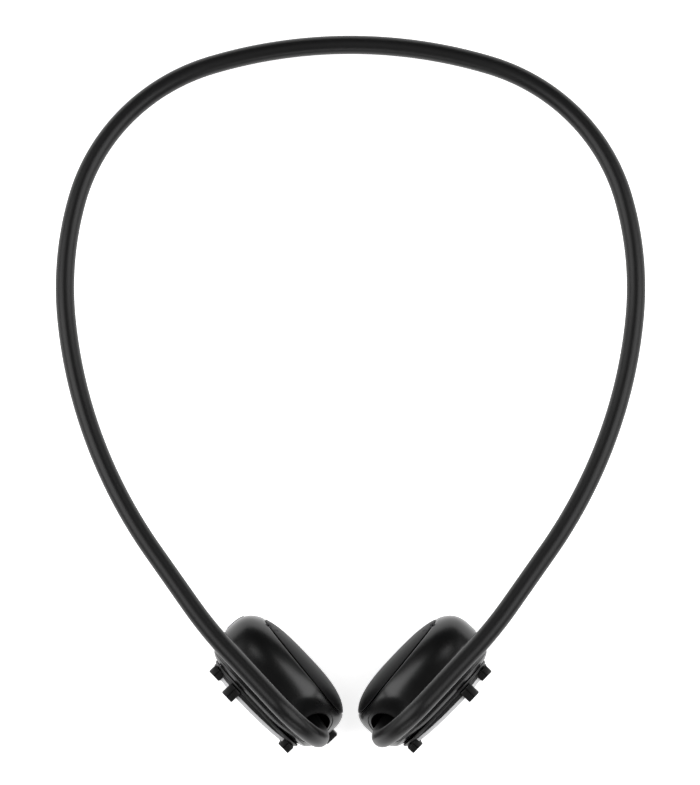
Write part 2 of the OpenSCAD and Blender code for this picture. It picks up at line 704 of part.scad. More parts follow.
left() trim_plate();  // left_trim_plate
right() trim_clips();  // right_trim_clips
left() trim_clips();  // left_trim_clips
right() case_screws();  // right_case_screws
left() case_screws();  // left_case_screws
right() pad_carrier();  // right_pad_carrier
left() pad_carrier();  // left_pad_carrier
right() voice_coil();  // right_voice_coil
left() voice_coil();  // left_voice_coil
right() pole_plate();  // right_pole_plate
left() pole_plate();  // left_pole_plate
right() magnet();  // right_magnet
left() magnet();  // left_magnet
right() magnet_cup();  // right_magnet_cup
left() magnet_cup();  // left_magnet_cup
right() suspension_spring();  // right_suspension_spring
left() suspension_spring();  // left_suspension_spring
right() transducer_cradle();  // right_transducer_cradle
left() transducer_cradle();  // left_transducer_cradle
right() microphone();  // right_microphone
left() microphone();  // left_microphone
right() status_light();  // right_status_light
left() status_light();  // left_status_light
right() main_board();  // right_main_board
right() board_chips();  // right_board_chips
left() battery();  // left_battery
left() link_board();  // left_link_board
right() charging_socket();  // right_charging_socket
right() port_cover();  // right_port_cover
right() multifunction_button();  // right_multifunction_button
right() volume_button(volume_w[0]);  // right_volume_up_button
right() volume_button(volume_w[1]);  // right_volume_down_button
right() button_switches();  // right_button_switches
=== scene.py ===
import json
import math

import bpy
import numpy as np
from mathutils import Matrix, Vector


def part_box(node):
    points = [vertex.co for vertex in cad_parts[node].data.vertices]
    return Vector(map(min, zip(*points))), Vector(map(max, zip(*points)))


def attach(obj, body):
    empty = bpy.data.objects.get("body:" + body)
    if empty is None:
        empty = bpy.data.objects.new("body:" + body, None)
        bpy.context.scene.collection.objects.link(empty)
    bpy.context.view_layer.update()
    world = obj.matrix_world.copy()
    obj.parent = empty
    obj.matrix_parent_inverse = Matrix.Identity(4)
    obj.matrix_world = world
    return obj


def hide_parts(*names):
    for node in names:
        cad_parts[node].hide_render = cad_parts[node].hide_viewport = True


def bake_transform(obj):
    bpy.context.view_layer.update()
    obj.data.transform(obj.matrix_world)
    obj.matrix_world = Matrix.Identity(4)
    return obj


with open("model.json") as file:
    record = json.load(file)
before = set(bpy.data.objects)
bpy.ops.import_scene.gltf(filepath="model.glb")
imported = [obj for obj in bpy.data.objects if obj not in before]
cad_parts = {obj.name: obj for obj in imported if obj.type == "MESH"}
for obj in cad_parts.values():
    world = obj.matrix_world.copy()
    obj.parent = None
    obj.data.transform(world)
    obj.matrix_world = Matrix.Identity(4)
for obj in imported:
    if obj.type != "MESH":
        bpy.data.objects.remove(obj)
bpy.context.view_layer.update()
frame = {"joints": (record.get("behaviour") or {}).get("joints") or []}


# ---- Camera, floor and lights ----
# A long lens straight above the loop. Two large soft boxes stand on its left and right, and a dimmer
# strip hangs in front. The floor is a white sheet with some light of its own, so that it stays white.
MM = 0.001
camera = bpy.data.cameras.new("camera")
camera.lens = 183.4
camera.clip_end = 20
eye = bpy.data.objects.new("camera", camera)
eye.location = (-0.125 * MM, -0.16 * MM, 1.020)
bpy.context.scene.collection.objects.link(eye)
bpy.context.scene.camera = eye


def soft_box(name, place, size, watts):
    lamp = bpy.data.lights.new(name, "AREA")
    lamp.shape = "RECTANGLE"
    lamp.size, lamp.size_y = size
    lamp.energy = watts
    box = bpy.data.objects.new(name, lamp)
    box.location = place
    box.rotation_euler = (-Vector(place)).to_track_quat("-Z", "Y").to_euler()
    bpy.context.scene.collection.objects.link(box)


soft_box("left_soft_box", (-1.1, 0.15, 1.0), (1.3, 1.5), 18)
soft_box("right_soft_box", (1.1, 0.15, 1.0), (1.3, 1.5), 18)
soft_box("front_soft_box", (0.0, -1.3, 0.8), (1.2, 0.4), 5)

world = bpy.data.worlds.new("studio")
world.use_nodes = True
world.node_tree.nodes["Background"].inputs["Color"].default_value = (1, 1, 1, 1)
world.node_tree.nodes["Background"].inputs["Strength"].default_value = 0.05
bpy.context.scene.world = world
bpy.context.scene.view_settings.view_transform = "Standard"

FLOOR_REACH, FLOOR_DROP = 3.0, 0.0002
floor_mesh = bpy.data.meshes.new("floor")
floor_mesh.from_pydata([(FLOOR_REACH * x, FLOOR_REACH * y, -FLOOR_DROP) for x, y in
    ((-1, -1), (1, -1), (1, 1), (-1, 1))], [], [(0, 1, 2, 3)])
floor = bpy.data.objects.new("floor", floor_mesh)
bpy.context.scene.collection.objects.link(floor)
floor_paint = bpy.data.materials.new("white_floor")
floor_paint.use_nodes = True
floor_shader = floor_paint.node_tree.nodes["Principled BSDF"]
floor_shader.inputs["Base Color"].default_value = (0.9, 0.9, 0.9, 1)
floor_shader.inputs["Roughness"].default_value = 0.9
floor_shader.inputs["Emission Color"].default_value = (1, 1, 1, 1)
floor_shader.inputs["Emission Strength"].default_value = 0.75
floor_mesh.materials.append(floor_paint)


# ---- Neckband sleeve ----
# One soft silicone sleeve from the nape to the hooks, moulded over a titanium spring wire and a thin
# cable. Each half starts at the nape and ends in the pod.
BAND_R = 2.35
BORE_R = 1.45
TILT = math.radians(12.4)
TOE = math.radians(46.4)
HOOK_LEAN = 4
OVER_LEN = 17.6
HOOK_R = 12.5
HOOK_SUNK = 100
TAIL_LEN = 1.6
turned = 180 - math.degrees(math.atan(math.tan(TOE) / math.cos(TILT)))
NECK_BENDS = [(0, 119, 17.3), (0, 50, 58), (0, 86, 21), (0, 127, 28.8)]
NECK_BENDS.append((16.5, 105, turned - sum(angle for _, _, angle in NECK_BENDS)))


class Walker:
    """A point on the band's middle, with the way ahead, the way it turns and the way up, in millimetres."""

    def __init__(self):
        low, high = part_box("rear_band_sleeve")
        self.at = np.array([0, high.y / MM - BAND_R, BAND_R])
        self.ahead = np.array([-1.0, 0, 0])
        self.side = np.array([0, -math.cos(TILT), math.sin(TILT)])
        self.up = np.array([0, math.sin(TILT), math.cos(TILT)])
        self.rolled = 0.0
        self.trail = []

    def mark(self):
        c, s = math.cos(self.rolled), math.sin(self.rolled)
        self.trail.append((self.at.copy(), s * self.side + c * self.up))

    def straight(self, length, step=0.9):
        count = max(1, round(length / step))
        for _ in range(count):
            self.at = self.at + self.ahead * length / count
            self.mark()

    def roll(self, angle):
        c, s = math.cos(angle), math.sin(angle)
        self.side, self.up = c * self.side + s * self.up, c * self.up - s * self.side
        self.rolled += angle

    def bend(self, radius, angle, step=0.9):
        count = max(2, round(radius * angle / step))
        a = angle / count
        for _ in range(count):
            self.at = self.at + radius * math.sin(a) * self.ahead + radius * (1 - math.cos(a)) * self.side
            self.ahead, self.side = (math.cos(a) * self.ahead + math.sin(a) * self.side,
                math.cos(a) * self.side - math.sin(a) * self.ahead)
            self.mark()


walker = Walker()
walker.mark()
for run, radius, angle in NECK_BENDS:
    if run:
        walker.straight(run)
    walker.bend(radius, math.radians(angle))
walker.straight(OVER_LEN)
hook_start = walker.at.copy()
heading = math.radians(turned)
hook_rise = math.asin(math.sin(heading) * math.sin(TILT))
hook_level = math.asin(-math.cos(heading) * math.sin(TILT) / math.cos(hook_rise))
walker.roll(hook_level + math.radians(HOOK_LEAN) - math.pi / 2)
free_turn = math.pi + hook_rise - math.radians(HOOK_SUNK)
walker.bend(HOOK_R, free_turn, step=0.5)
sunk_from = len(walker.trail) - 1
walker.bend(HOOK_R, math.radians(HOOK_SUNK), step=0.5)
sunk_to = len(walker.trail) - 1
hook_out = walker.ahead.copy()
walker.straight(TAIL_LEN)
band_trail = walker.trail


def path_object(name, trail, lift=0.0):
    """A curve through the trail's points, set off by lift along its own up."""
    line = bpy.data.curves.new(name, "CURVE")
    line.dimensions = "3D"
    spline = line.splines.new("POLY")
    spline.points.add(len(trail) - 1)
    for point, (at, up) in zip(spline.points, trail):
        point.co = (*((at + lift * up) * MM), 1)
    path = bpy.data.objects.new(name, line)
    bpy.context.scene.collection.objects.link(path)
    return path


def tube_tree():
    """Geometry nodes that sweep a round tube along the curve that they are put on."""
    tree = bpy.data.node_groups.new("swept_tube", "GeometryNodeTree")
    face = tree.interface
    face.new_socket("Geometry", in_out="INPUT", socket_type="NodeSocketGeometry")
    face.new_socket("Radius", in_out="INPUT", socket_type="NodeSocketFloat")
    face.new_socket("Sides", in_out="INPUT", socket_type="NodeSocketInt")
    face.new_socket("Closed Ends", in_out="INPUT", socket_type="NodeSocketBool")
    face.new_socket("Material", in_out="INPUT", socket_type="NodeSocketMaterial")
    face.new_socket("Geometry", in_out="OUTPUT", socket_type="NodeSocketGeometry")
    given, result = tree.nodes.new("NodeGroupInput"), tree.nodes.new("NodeGroupOutput")
    circle = tree.nodes.new("GeometryNodeCurvePrimitiveCircle")
    sweep = tree.nodes.new("GeometryNodeCurveToMesh")
    smooth = tree.nodes.new("GeometryNodeSetShadeSmooth")
    realize = tree.nodes.new("GeometryNodeRealizeInstances")
    paint = tree.nodes.new("GeometryNodeSetMaterial")
    tree.links.new(given.outputs["Geometry"], sweep.inputs["Curve"])
    tree.links.new(given.outputs["Radius"], circle.inputs["Radius"])
    tree.links.new(given.outputs["Sides"], circle.inputs["Resolution"])
    tree.links.new(circle.outputs["Curve"], sweep.inputs["Profile Curve"])
    tree.links.new(given.outputs["Closed Ends"], sweep.inputs["Fill Caps"])
    tree.links.new(sweep.outputs["Mesh"], smooth.inputs["Geometry"])
    tree.links.new(smooth.outputs["Geometry"], realize.inputs["Geometry"])
    tree.links.new(realize.outputs["Geometry"], paint.inputs["Geometry"])
    tree.links.new(given.outputs["Material"], paint.inputs["Material"])
    tree.links.new(paint.outputs["Geometry"], result.inputs["Geometry"])
    return tree


def settled(thing, name=None):
    """The thing with its modifiers made part of a plain mesh, at the origin."""
    bpy.context.view_layer.update()
    mesh = bpy.data.meshes.new_from_object(thing.evaluated_get(bpy.context.evaluated_depsgraph_get()))
    mesh.name = name or thing.name
    if thing.type == "MESH":
        thing.modifiers.clear()
        old, thing.data = thing.data, mesh
        bpy.data.meshes.remove(old)
        return thing
    bpy.data.objects.remove(thing)
    piece = bpy.data.objects.new(name, mesh)
    bpy.context.scene.collection.objects.link(piece)
    return piece


TUBE = tube_tree()


def swept(name, trail, radius, sides, closed, material, lift=0.0):
    path = path_object(name + "_path", trail, lift)
    nodes = path.modifiers.new("tube", "NODES")
    nodes.node_group = TUBE
    wanted = {"Radius": radius * MM, "Sides": sides, "Closed Ends": closed, "Material": material}
    for socket in TUBE.interface.items_tree:
        if socket.in_out == "INPUT" and socket.name in wanted:
            nodes[socket.identifier] = wanted[socket.name]
    return settled(path, name)


class Wire:
    """An output of a material's node. Arithmetic on it adds Math nodes, and node() adds any other node."""

    def __init__(self, socket):
        self.socket = socket

    def node(self, kind, settings, sockets, out=0):
        tree = self.socket.id_data
        made = tree.nodes.new(kind)
        for name, value in settings.items():
            if name == "stops":
                ramp = made.color_ramp.elements
                while len(ramp) < len(value):
                    ramp.new(0.5)
                for stop, (place, colour) in zip(ramp, value):
                    stop.position, stop.color = place, (*colour, 1)
            else:
                setattr(made, name, value)
        for name, value in sockets.items():
            if isinstance(value, Wire):
                tree.links.new(value.socket, made.inputs[name])
            else:
                made.inputs[name].default_value = value
        return Wire(made.outputs[out])

    def math(self, operation, *others):
        return self.node("ShaderNodeMath", {"operation": operation}, dict(enumerate((self, *others))))

    def __add__(self, other):
        return self.math("ADD", other)

    def __sub__(self, other):
        return self.math("SUBTRACT", other)

    def __mul__(self, other):
        return self.math("MULTIPLY", other)

    def __rsub__(self, other):
        return self * -1 + other

    def __gt__(self, other):
        return self.math("GREATER_THAN", other)

    __radd__ = __add__
    __rmul__ = __mul__

    def noise(self, scale, detail=3.0, rough=0.5):
        """Noise from 0 to 1 with features about 1/scale of a metre wide."""
        return self.node("ShaderNodeTexNoise", {}, {"Vector": self, "Scale": scale, "Detail": detail,
            "Roughness": rough})

    def turned(self, angle, stretch=(1, 1, 1)):
        """The coordinates turned about Z, then stretched."""
        flat = self.node("ShaderNodeMapping", {"vector_type": "POINT"},
            {"Vector": self, "Rotation": (0, 0, angle)})
        return flat.node("ShaderNodeVectorMath", {"operation": "MULTIPLY"}, {0: flat, 1: stretch})

    def blend(self, low, high):
        """The colour that lies between low and high, by this value."""
        return self.node("ShaderNodeMix", {"data_type": "RGBA"},
            {"Factor": self, 6: (*low, 1), 7: (*high, 1)}, 2)

    def bump(self, depth, normal=None):
        """A normal roughened by this height, depth in metres."""
        sockets = {"Height": self, "Strength": 1.0, "Distance": depth}
        if normal:
            sockets["Normal"] = normal
        return self.node("ShaderNodeBump", {}, sockets)


def new_finish(name, **fixed):
    """A new material's object coordinates, and the call that fills its shader's sockets and returns it.

    fixed holds the sockets that are the same all over the surface.
    """
    material = bpy.data.materials.new(name)
    material.use_nodes = True
    shader = material.node_tree.nodes["Principled BSDF"]
    for socket, value in fixed.items():
        shader.inputs[socket.replace("_", " ")].default_value = value
    place = Wire(material.node_tree.nodes.new("ShaderNodeTexCoord").outputs["Object"])

    def fill(**wires):
        for socket, wire in wires.items():
            material.node_tree.links.new(wire.socket, shader.inputs[socket.replace("_", " ")])
        return material

    return place, fill


def soft_rubber(name, dark, light, rough, grain=4200.0, depth=0.000004):
    """Moulded silicone or rubber: a fine matt grain, a faint mottle and slightly shinier handled patches."""
    place, fill = new_finish(name, Specular_IOR_Level=0.34)
    mottle = place.noise(55.0, 4.0)
    handled = place.noise(16.0, 2.0)
    skin = place.noise(grain, 2.0, 0.6)
    return fill(
        Base_Color=mottle.blend(dark, light),
        Roughness=(handled * 0.16 + skin * 0.06) + (rough - 0.11),
        Normal=skin.bump(depth),
    )


BAND_SILICONE = soft_rubber("band_silicone", (0.002, 0.002, 0.0021), (0.0045, 0.0045, 0.0048), 0.40)
flex_at = Vector(next(j for j in frame["joints"] if j["name"] == "right_flex")["pos_m"])


def mirrored(piece, name):
    """The left-hand copy of a right-hand piece."""
    mesh = piece.data.copy()
    mesh.transform(Matrix.Scale(-1, 4, (1, 0, 0)))
    mesh.flip_normals()
    mesh.name = name
    twin = bpy.data.objects.new(name, mesh)
    bpy.context.scene.collection.objects.link(twin)
    return twin


def bends_with_arm(piece, side):
    """Ties a piece of the band to the nape and to that side's arm."""
    # Bakes a piece of the band's placement into its mesh.
    flip = Vector((1 if side == "right" else -1, 1, 1))
    side + "_arm"
    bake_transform(piece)


right_band = swept("right_band_sleeve", band_trail, BAND_R, 40, False, BAND_SILICONE)
wall = right_band.modifiers.new("wall", "SOLIDIFY")
wall.thickness = (BAND_R - BORE_R - 0.02) * MM
wall.offset = -1
right_band = settled(right_band)
right_band.data.set_sharp_from_angle(angle=math.radians(50))
for vertex in right_band.data.vertices:
    if abs(vertex.co.x) < 0.05 * MM:
        vertex.co.x = 0
left_band = mirrored(right_band, "left_band_sleeve")
for side, band in (("right", right_band), ("left", left_band)):
    bends_with_arm(band, side)
    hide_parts("rear_band_sleeve", side + "_arm_sleeve")


# ---- Spring wire and link cable ----
# The titanium wire gives the band its spring, and the cable carries the left pod's sound and charge.
# Both lie in the sleeve's bore, one under the other, and come out of its ends inside the pods.
LEAD_OFF = 0.75


def drawn_metal(name, low, high, rough, metal=1.0):
    """Drawn or rolled bare metal with fine streaks and a soft stain."""
    place, fill = new_finish(name, Metallic=metal)
    streak = place.noise(1800.0, 2.0)
    stain = place.noise(40.0, 3.0)
    return fill(
        Base_Color=(stain * 0.7 + streak * 0.3).blend(low, high),
        Roughness=streak * 0.16 + (rough - 0.08),
        Normal=streak.bump(0.000004),
    )


TITANIUM = drawn_metal("drawn_titanium", (0.42, 0.40, 0.37), (0.58, 0.56, 0.53), 0.34)
CABLE_JACKET = soft_rubber("cable_jacket", (0.18, 0.012, 0.012), (0.27, 0.02, 0.018), 0.45)


def lead_trail(trail, extra):
    """The band's trail carried on past the sleeve's end."""
    (before, _), (last, up) = trail[-2:]
    way = (last - before) / np.linalg.norm(last - before)
    return trail + [(last + way * extra, up)]


for part, radius, lift, extra, paint, replaced, slot in (
    ("spring_wire_run", 0.6, -LEAD_OFF, 2.4, TITANIUM, "spring_wire", "titanium_wire"),
    ("link_cable_run", 0.5, LEAD_OFF, 0.3, CABLE_JACKET, "link_cable", "cable_jacket"),
):
    right_lead = swept("right_" + part, lead_trail(band_trail, extra), radius - 0.01, 14, True, paint, lift)
    right_lead.data.set_sharp_from_angle(angle=math.radians(50))
    for side, lead in (("right", right_lead), ("left", mirrored(right_lead, "left_" + part))):
        bends_with_arm(lead, side)
        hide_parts("rear_" + replaced, f"{side}_{replaced}")


# ---- Pod shells ----
# Each pod is two glossy moulded shells that meet on an upright parting plane, an outer one behind the
# trim and an inner one that stops at the contact pad. The hook comes down into a soft dish in their top.
POD_U, POD_MID, POD_W = 12.7, 10.2, 12.0
POD_LEN, POD_HIGH = 37.1, 24.6
POD_OUT, POD_IN, POD_FACE = 0.7, 19.6, 2.2
PART_V, SEAL_T, SHELL_WALL = 8.6, 0.4, 1.4
PAD_V, PAD_TILT, SEAM = 17.0, math.radians(4), 0.2
HOOK_U, HOOK_V = 14.8, 7.45
SCOOP_R, SCOOP_WALL = 4.2, 0.9
DISH_REACH, DISH_DEEP = 5.0, 0.9
TRIM_SEAM, GROOVE_DEEP = 3.4, 0.1
EDGE = 0.16
ROUND = 144
ALONG = np.array([math.cos(TOE), -math.sin(TOE), 0])
HEADWARD = np.array([math.sin(TOE), math.cos(TOE), 0])


def pod_place(points):
    """Points given along the right pod, across it and up, turned into world millimetres."""
    points = np.asarray(points, float)
    u, v, w = points[..., 0:1], points[..., 1:2], points[..., 2:3]
    ground = np.array([hook_start[0], hook_start[1], 0])
    return ground + (u - HOOK_U) * ALONG + (v - HOOK_V) * HEADWARD + w * np.array([0, 0, 1])


def in_pod(points):
    """World millimetres turned into the right pod's along, across and up."""
    flat = np.asarray(points, float) - np.array([hook_start[0], hook_start[1], 0])
    return np.stack([flat @ ALONG + HOOK_U, flat @ HEADWARD + HOOK_V, flat[..., 2]], -1)


def bulge(t, power):
    return np.clip(1 - np.abs(t) ** power, 0, 1) ** (1 / power)


def half_size(v):
    """Half the pod's length and height at a depth."""
    t = np.where(v < POD_MID, (v - POD_MID) / (POD_MID - POD_OUT), (v - POD_MID) / (POD_IN - POD_MID))
    outer = v < POD_MID
    return (POD_LEN / 2 * np.where(outer, bulge(t, 3.6), bulge(t, 3.0)),
        POD_HIGH / 2 * np.where(outer, bulge(t, 3.4), bulge(t, 2.6)))


turn_of = (np.arange(ROUND) + 0.5) * 2 * math.pi / ROUND
OVAL = np.stack([np.sign(f(turn_of)) * np.abs(f(turn_of)) ** (2 / 2.4) for f in (np.cos, np.sin)])
sunk_path = in_pod(np.array([at for at, _ in band_trail[sunk_from - 12:sunk_to]]))


def form_ring(v, inset=0.0):
    """A ring round the pod's form at a depth, set in from its surface and dished where the hook goes in."""
    v = np.broadcast_to(np.asarray(v, float), (ROUND,))
    length, high = half_size(v)
    ring = np.stack([POD_U + (length - inset) * OVAL[0], v, POD_W + (high - inset) * OVAL[1]], 1)
    away = np.linalg.norm(ring[:, None, :] - sunk_path[None], axis=2).min(1)
    near = np.clip((SCOOP_R + SCOOP_WALL + DISH_REACH - away) / DISH_REACH, 0, 1)
    inward = np.array([POD_U, POD_MID, POD_W]) - ring
    inward /= np.linalg.norm(inward, axis=1)[:, None]
    ring = ring + inward * (DISH_DEEP * near ** 2 * (3 - 2 * near))[:, None]
    ring[:, 2] = np.maximum(ring[:, 2], 0)
    return ring


def crease(gap, inset=0.0):
    """The depth, all round, of the slanted crease at the contact pad's back."""
    v = np.full(ROUND, PAD_V)
    for _ in range(12):
        u = POD_U + (half_size(v)[0] - inset) * OVAL[0]
        v = PAD_V - (u - POD_U) * math.tan(PAD_TILT) + gap
    return v


def ringed(name, rings, material, closed=False):
    """A solid through rings of equal count in the pod's frame. Its ends are filled, or joined if closed."""
    count, layers = len(rings[0]), len(rings)
    points = pod_place(np.concatenate(rings)) * MM
    faces = []
    for i in range(layers if closed else layers - 1):
        here, there = i * count, (i + 1) % layers * count
        faces += [(here + j, here + (j + 1) % count, there + (j + 1) % count, there + j)
            for j in range(count)]
    if not closed:
        faces += [list(range(count))[::-1], list(range((layers - 1) * count, layers * count))]
    mesh = bpy.data.meshes.new(name)
    mesh.from_pydata([tuple(p) for p in points], [], faces)
    centre = points.mean(0)
    volume = sum((mesh.vertices[face.vertices[0]].co - Vector(centre)).dot(face.normal) * face.area
        for face in mesh.polygons)
    if volume < 0:
        mesh.flip_normals()
    mesh.shade_smooth()
    mesh.set_sharp_from_angle(angle=math.radians(38))
    if material:
        mesh.materials.append(material)
    piece = bpy.data.objects.new(name, mesh)
    bpy.context.scene.collection.objects.link(piece)
    return piece


def block(name, low, high, material=None, bevel=0.0):
    """A box between two corners in the pod's frame, with its edges rounded."""
    (u0, v0, w0), (u1, v1, w1) = low, high
    piece = ringed(name, [np.array([(u0, v0, w), (u1, v0, w), (u1, v1, w), (u0, v1, w)])
        for w in (w0, w1)], material)
    if bevel:
        edge = piece.modifiers.new("edge", "BEVEL")
        edge.width, edge.segments, edge.limit_method = bevel * MM, 3, "NONE"
        piece = settled(piece)
        piece.data.shade_smooth()
    return piece


def carve(piece, tools, how="DIFFERENCE"):
    """Cuts the tools out of a piece, or keeps what they share, and takes the tools away."""
    for tool in tools:
        cut = piece.modifiers.new("cut", "BOOLEAN")
        cut.object, cut.operation, cut.solver = tool, how, "EXACT"
    settled(piece)
    piece.data.set_sharp_from_angle(angle=math.radians(38))
    for tool in tools:
        bpy.data.objects.remove(tool)
    return piece


def lip(v, way):
    """Rings that round a shell's edge over, from its outer surface to the parting face."""
    return [form_ring(v - way * EDGE * (1 - math.sin(a)), EDGE * (1 - math.cos(a)))
        for a in np.linspace(0, math.pi / 2, 4)]


def gloss_plastic(name, dark, light, rough, peel=0.000006):
    """Glossy moulded plastic: a slight orange peel, handling marks in its shine and fine dust."""
    place, fill = new_finish(name, Specular_IOR_Level=0.5)
    waves = place.noise(420.0, 1.0)
    handled = place.noise(70.0, 4.0, 0.6)
    dust = place.noise(5200.0, 1.0) > 0.74
    return fill(
        Base_Color=(dust * 0.5 + handled * 0.3).blend(dark, light),
        Roughness=handled * 0.12 + dust * 0.15 + (rough - 0.06),
        Normal=waves.bump(peel),
    )


PLASTIC_DARK, PLASTIC_LIGHT = (0.0014, 0.0014, 0.0015), (0.004, 0.004, 0.0042)
SHELL_PLASTIC = gloss_plastic("shell_plastic", PLASTIC_DARK, PLASTIC_LIGHT, 0.29)


def shell_rings(v_to):
    """The outer surface from the face to the parting plane, and back along the inside of the wall."""
    face = [form_ring(POD_FACE, inset) for inset in (3.0, 1.6, 1.0)]
    edge = [form_ring(POD_FACE + 0.9 * (1 - math.cos(a)), 0.95 * (1 - math.sin(a))) for a in
        np.linspace(0.05, math.pi / 2, 9)]
    groove = [form_ring(TRIM_SEAM + v, inset) for v, inset in
        ((-0.08, 0), (-0.05, GROOVE_DEEP), (0.05, GROOVE_DEEP), (0.08, 0))]
    side = groove + [form_ring(TRIM_SEAM + 0.2 + (v_to - EDGE - TRIM_SEAM - 0.2) * t) for t in
        np.linspace(0, 1, 18)[:-1]]
    inside = [form_ring(v, SHELL_WALL) for v in np.linspace(v_to, POD_FACE + SHELL_WALL, 9)]
    return face + edge + side + lip(v_to, 1) + inside + [form_ring(POD_FACE + SHELL_WALL, 4.0)]


right_outer = ringed("right_outer_case", shell_rings(PART_V - SEAL_T / 2), SHELL_PLASTIC)
start_v = PART_V + SEAL_T / 2
back_v, back_inner_v = crease(-SEAM / 2), crease(-SEAM / 2, SHELL_WALL)
right_inner = ringed("right_inner_case",
    lip(start_v, -1)[::-1]
    + [form_ring(start_v + EDGE + (back_v - start_v - 2 * EDGE) * t) for t in np.linspace(0, 1, 36)[1:-1]]
    + [form_ring(back_v - EDGE * (1 - math.sin(a)), EDGE * (1 - math.cos(a)))
        for a in np.linspace(0, math.pi / 2, 4)]
    + [form_ring(start_v + (back_inner_v - start_v) * t, SHELL_WALL) for t in np.linspace(1, 0, 12)],
    SHELL_PLASTIC, closed=True)

for case in (right_outer, right_inner):
    carve(case, [swept("hook_room", band_trail[sunk_from:sunk_to + 1], SCOOP_R + SCOOP_WALL, 64, True, None)])
left_outer, left_inner = mirrored(right_outer, "left_outer_case"), mirrored(right_inner, "left_inner_case")

BUTTON_GAP, TRAVEL = 0.15, 0.5
BLOCK_LOW, BLOCK_HIGH = np.array([26.0, 7.4, 3.3]), np.array([33.0, 11.0, 7.9])
COVER_LOW, COVER_HIGH = np.array([13.53, 3.77, -1.0]), np.array([24.47, 9.03, 3.15])
VOLUME_LOW, VOLUME_HIGH = np.array([-8.05, 9.4, -1.6]), np.array([1.0, 14.6, 1.6])
VOLUME_UP, VOLUME_DOWN = 8.1, 3.9
MIC_AT, LIGHT_AT = (0.7, 17.7, 17.0), (3.1, 18.2, 17.4)
MIC_R, LIGHT_R = 0.80, 0.55
PIPE_WAY = np.array([-0.324, 0.643, 0.694])


def rod(name, at, way, radius, low, high, material=None, sides=48):
    """A round bar along a way through a point of the pod's frame, from low to high along it."""
    way = np.array(way) / np.linalg.norm(way)
    across = np.cross(way, (0, 0, 1)) if abs(way[2]) < 0.9 else np.cross(way, (1, 0, 0))
    across /= np.linalg.norm(across)
    other = np.cross(way, across)
    a = np.arange(sides) * 2 * math.pi / sides
    circle = radius * (np.cos(a)[:, None] * across + np.sin(a)[:, None] * other)
    return ringed(name, [np.array(at) + way * d + circle for d in (low, high)], material)


def front_windows():
    """The openings for the block button and the charging socket, with a gap all round."""
    return [block("window", low - BUTTON_GAP - np.array([travel, 0, 0]), high + BUTTON_GAP)
        for low, high, travel in ((BLOCK_LOW, BLOCK_HIGH, TRAVEL), (COVER_LOW, COVER_HIGH, 0.0))]


def rear_windows():
    """The openings for the two volume buttons, with a gap all round and room for their travel."""
    return [block("window", VOLUME_LOW + (0, 0, level) - BUTTON_GAP,
        VOLUME_HIGH + (0, 0, level) + BUTTON_GAP + np.array([TRAVEL, 0, 0]))
        for level in (VOLUME_UP, VOLUME_DOWN)]


def sensor_bores(side):
    """The microphone's and the status light's holes through the rim of the shell and the pad."""
    bores = [rod("bore", at, PIPE_WAY, radius, -1.0, 3.0)
        for at, radius in ((MIC_AT, MIC_R), (LIGHT_AT, LIGHT_R))]
    if side == "left":
        for bore in bores:
            bore.data.transform(Matrix.Scale(-1, 4, (1, 0, 0)))
            bore.data.flip_normals()
    return bores


carve(right_outer, front_windows())
carve(right_inner, front_windows() + rear_windows() + sensor_bores("right"))
carve(left_inner, sensor_bores("left"))
for side, outer, inner in (("right", right_outer, right_inner), ("left", left_outer, left_inner)):
    for case, node in ((outer, "_outer_shell"), (inner, "_inner_shell")):
        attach(case, side + "_arm")
        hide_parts(side + node)


# ---- Hook sockets ----
# The moulded lining of the dish in each pod's top. It is open along the way the hook comes down, and its
# back wall grips the sleeve's end.
LINING_PLASTIC = gloss_plastic("lining_plastic", (0.001, 0.001, 0.001), (0.003, 0.003, 0.003), 0.36)


def form_solid(name, inset, low=2.4, high=19.2):
    """The pod's form, set in from its surface, as one closed solid."""
    return ringed(name, [form_ring(v, inset) for v in np.linspace(low, high, 40)], None)


def past_end(trail, extra):
    (at, up) = trail[-1]
    return trail + [(at + hook_out * extra, up)]


sunk_trail = band_trail[sunk_from:sunk_to + 1]
right_lining = swept("right_hook_lining", past_end(sunk_trail, 1.0), SCOOP_R + SCOOP_WALL - 0.03, 64, True,
    LINING_PLASTIC)
carve(right_lining, [form_solid("lining_bound", 0.12, 1.5, 18.0)], "INTERSECT")
carve(right_lining, [swept("hook_bore", band_trail[sunk_from - 3:sunk_to + 1], SCOOP_R, 64, True, None),
    swept("grip_bore", past_end(band_trail[sunk_to - 4:sunk_to + 1], 4.0), BAND_R + 0.02, 40, True, None)])
for side, lining in (("right", right_lining), ("left", mirrored(right_lining, "left_hook_lining"))):
    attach(lining, side + "_arm")
    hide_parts(side + "_hook_socket")


# ---- Contact pads ----
# The soft silicone pad that rests on the cheekbone is moulded over a stiff carrier, which the voice coil
# shakes. Its crown rounds over to a nearly flat middle, and a crease parts it from the shell.
def pad_finish():
    """Matt silicone with a fine grain, skin wear on its crown and a faint mottle."""
    place, fill = new_finish("pad_silicone", Specular_IOR_Level=0.15)
    mottle = place.noise(90.0, 4.0)
    handled = place.noise(38.0, 3.0, 0.6)
    skin = place.noise(2600.0, 2.0, 0.6)
    return fill(
        Base_Color=(mottle * 0.7 + skin * 0.3).blend((0.0035, 0.0035, 0.0037), (0.007, 0.007, 0.0074)),
        Roughness=(handled * 0.14 + skin * 0.08) + 0.40,
        Normal=skin.bump(0.000004),
    )


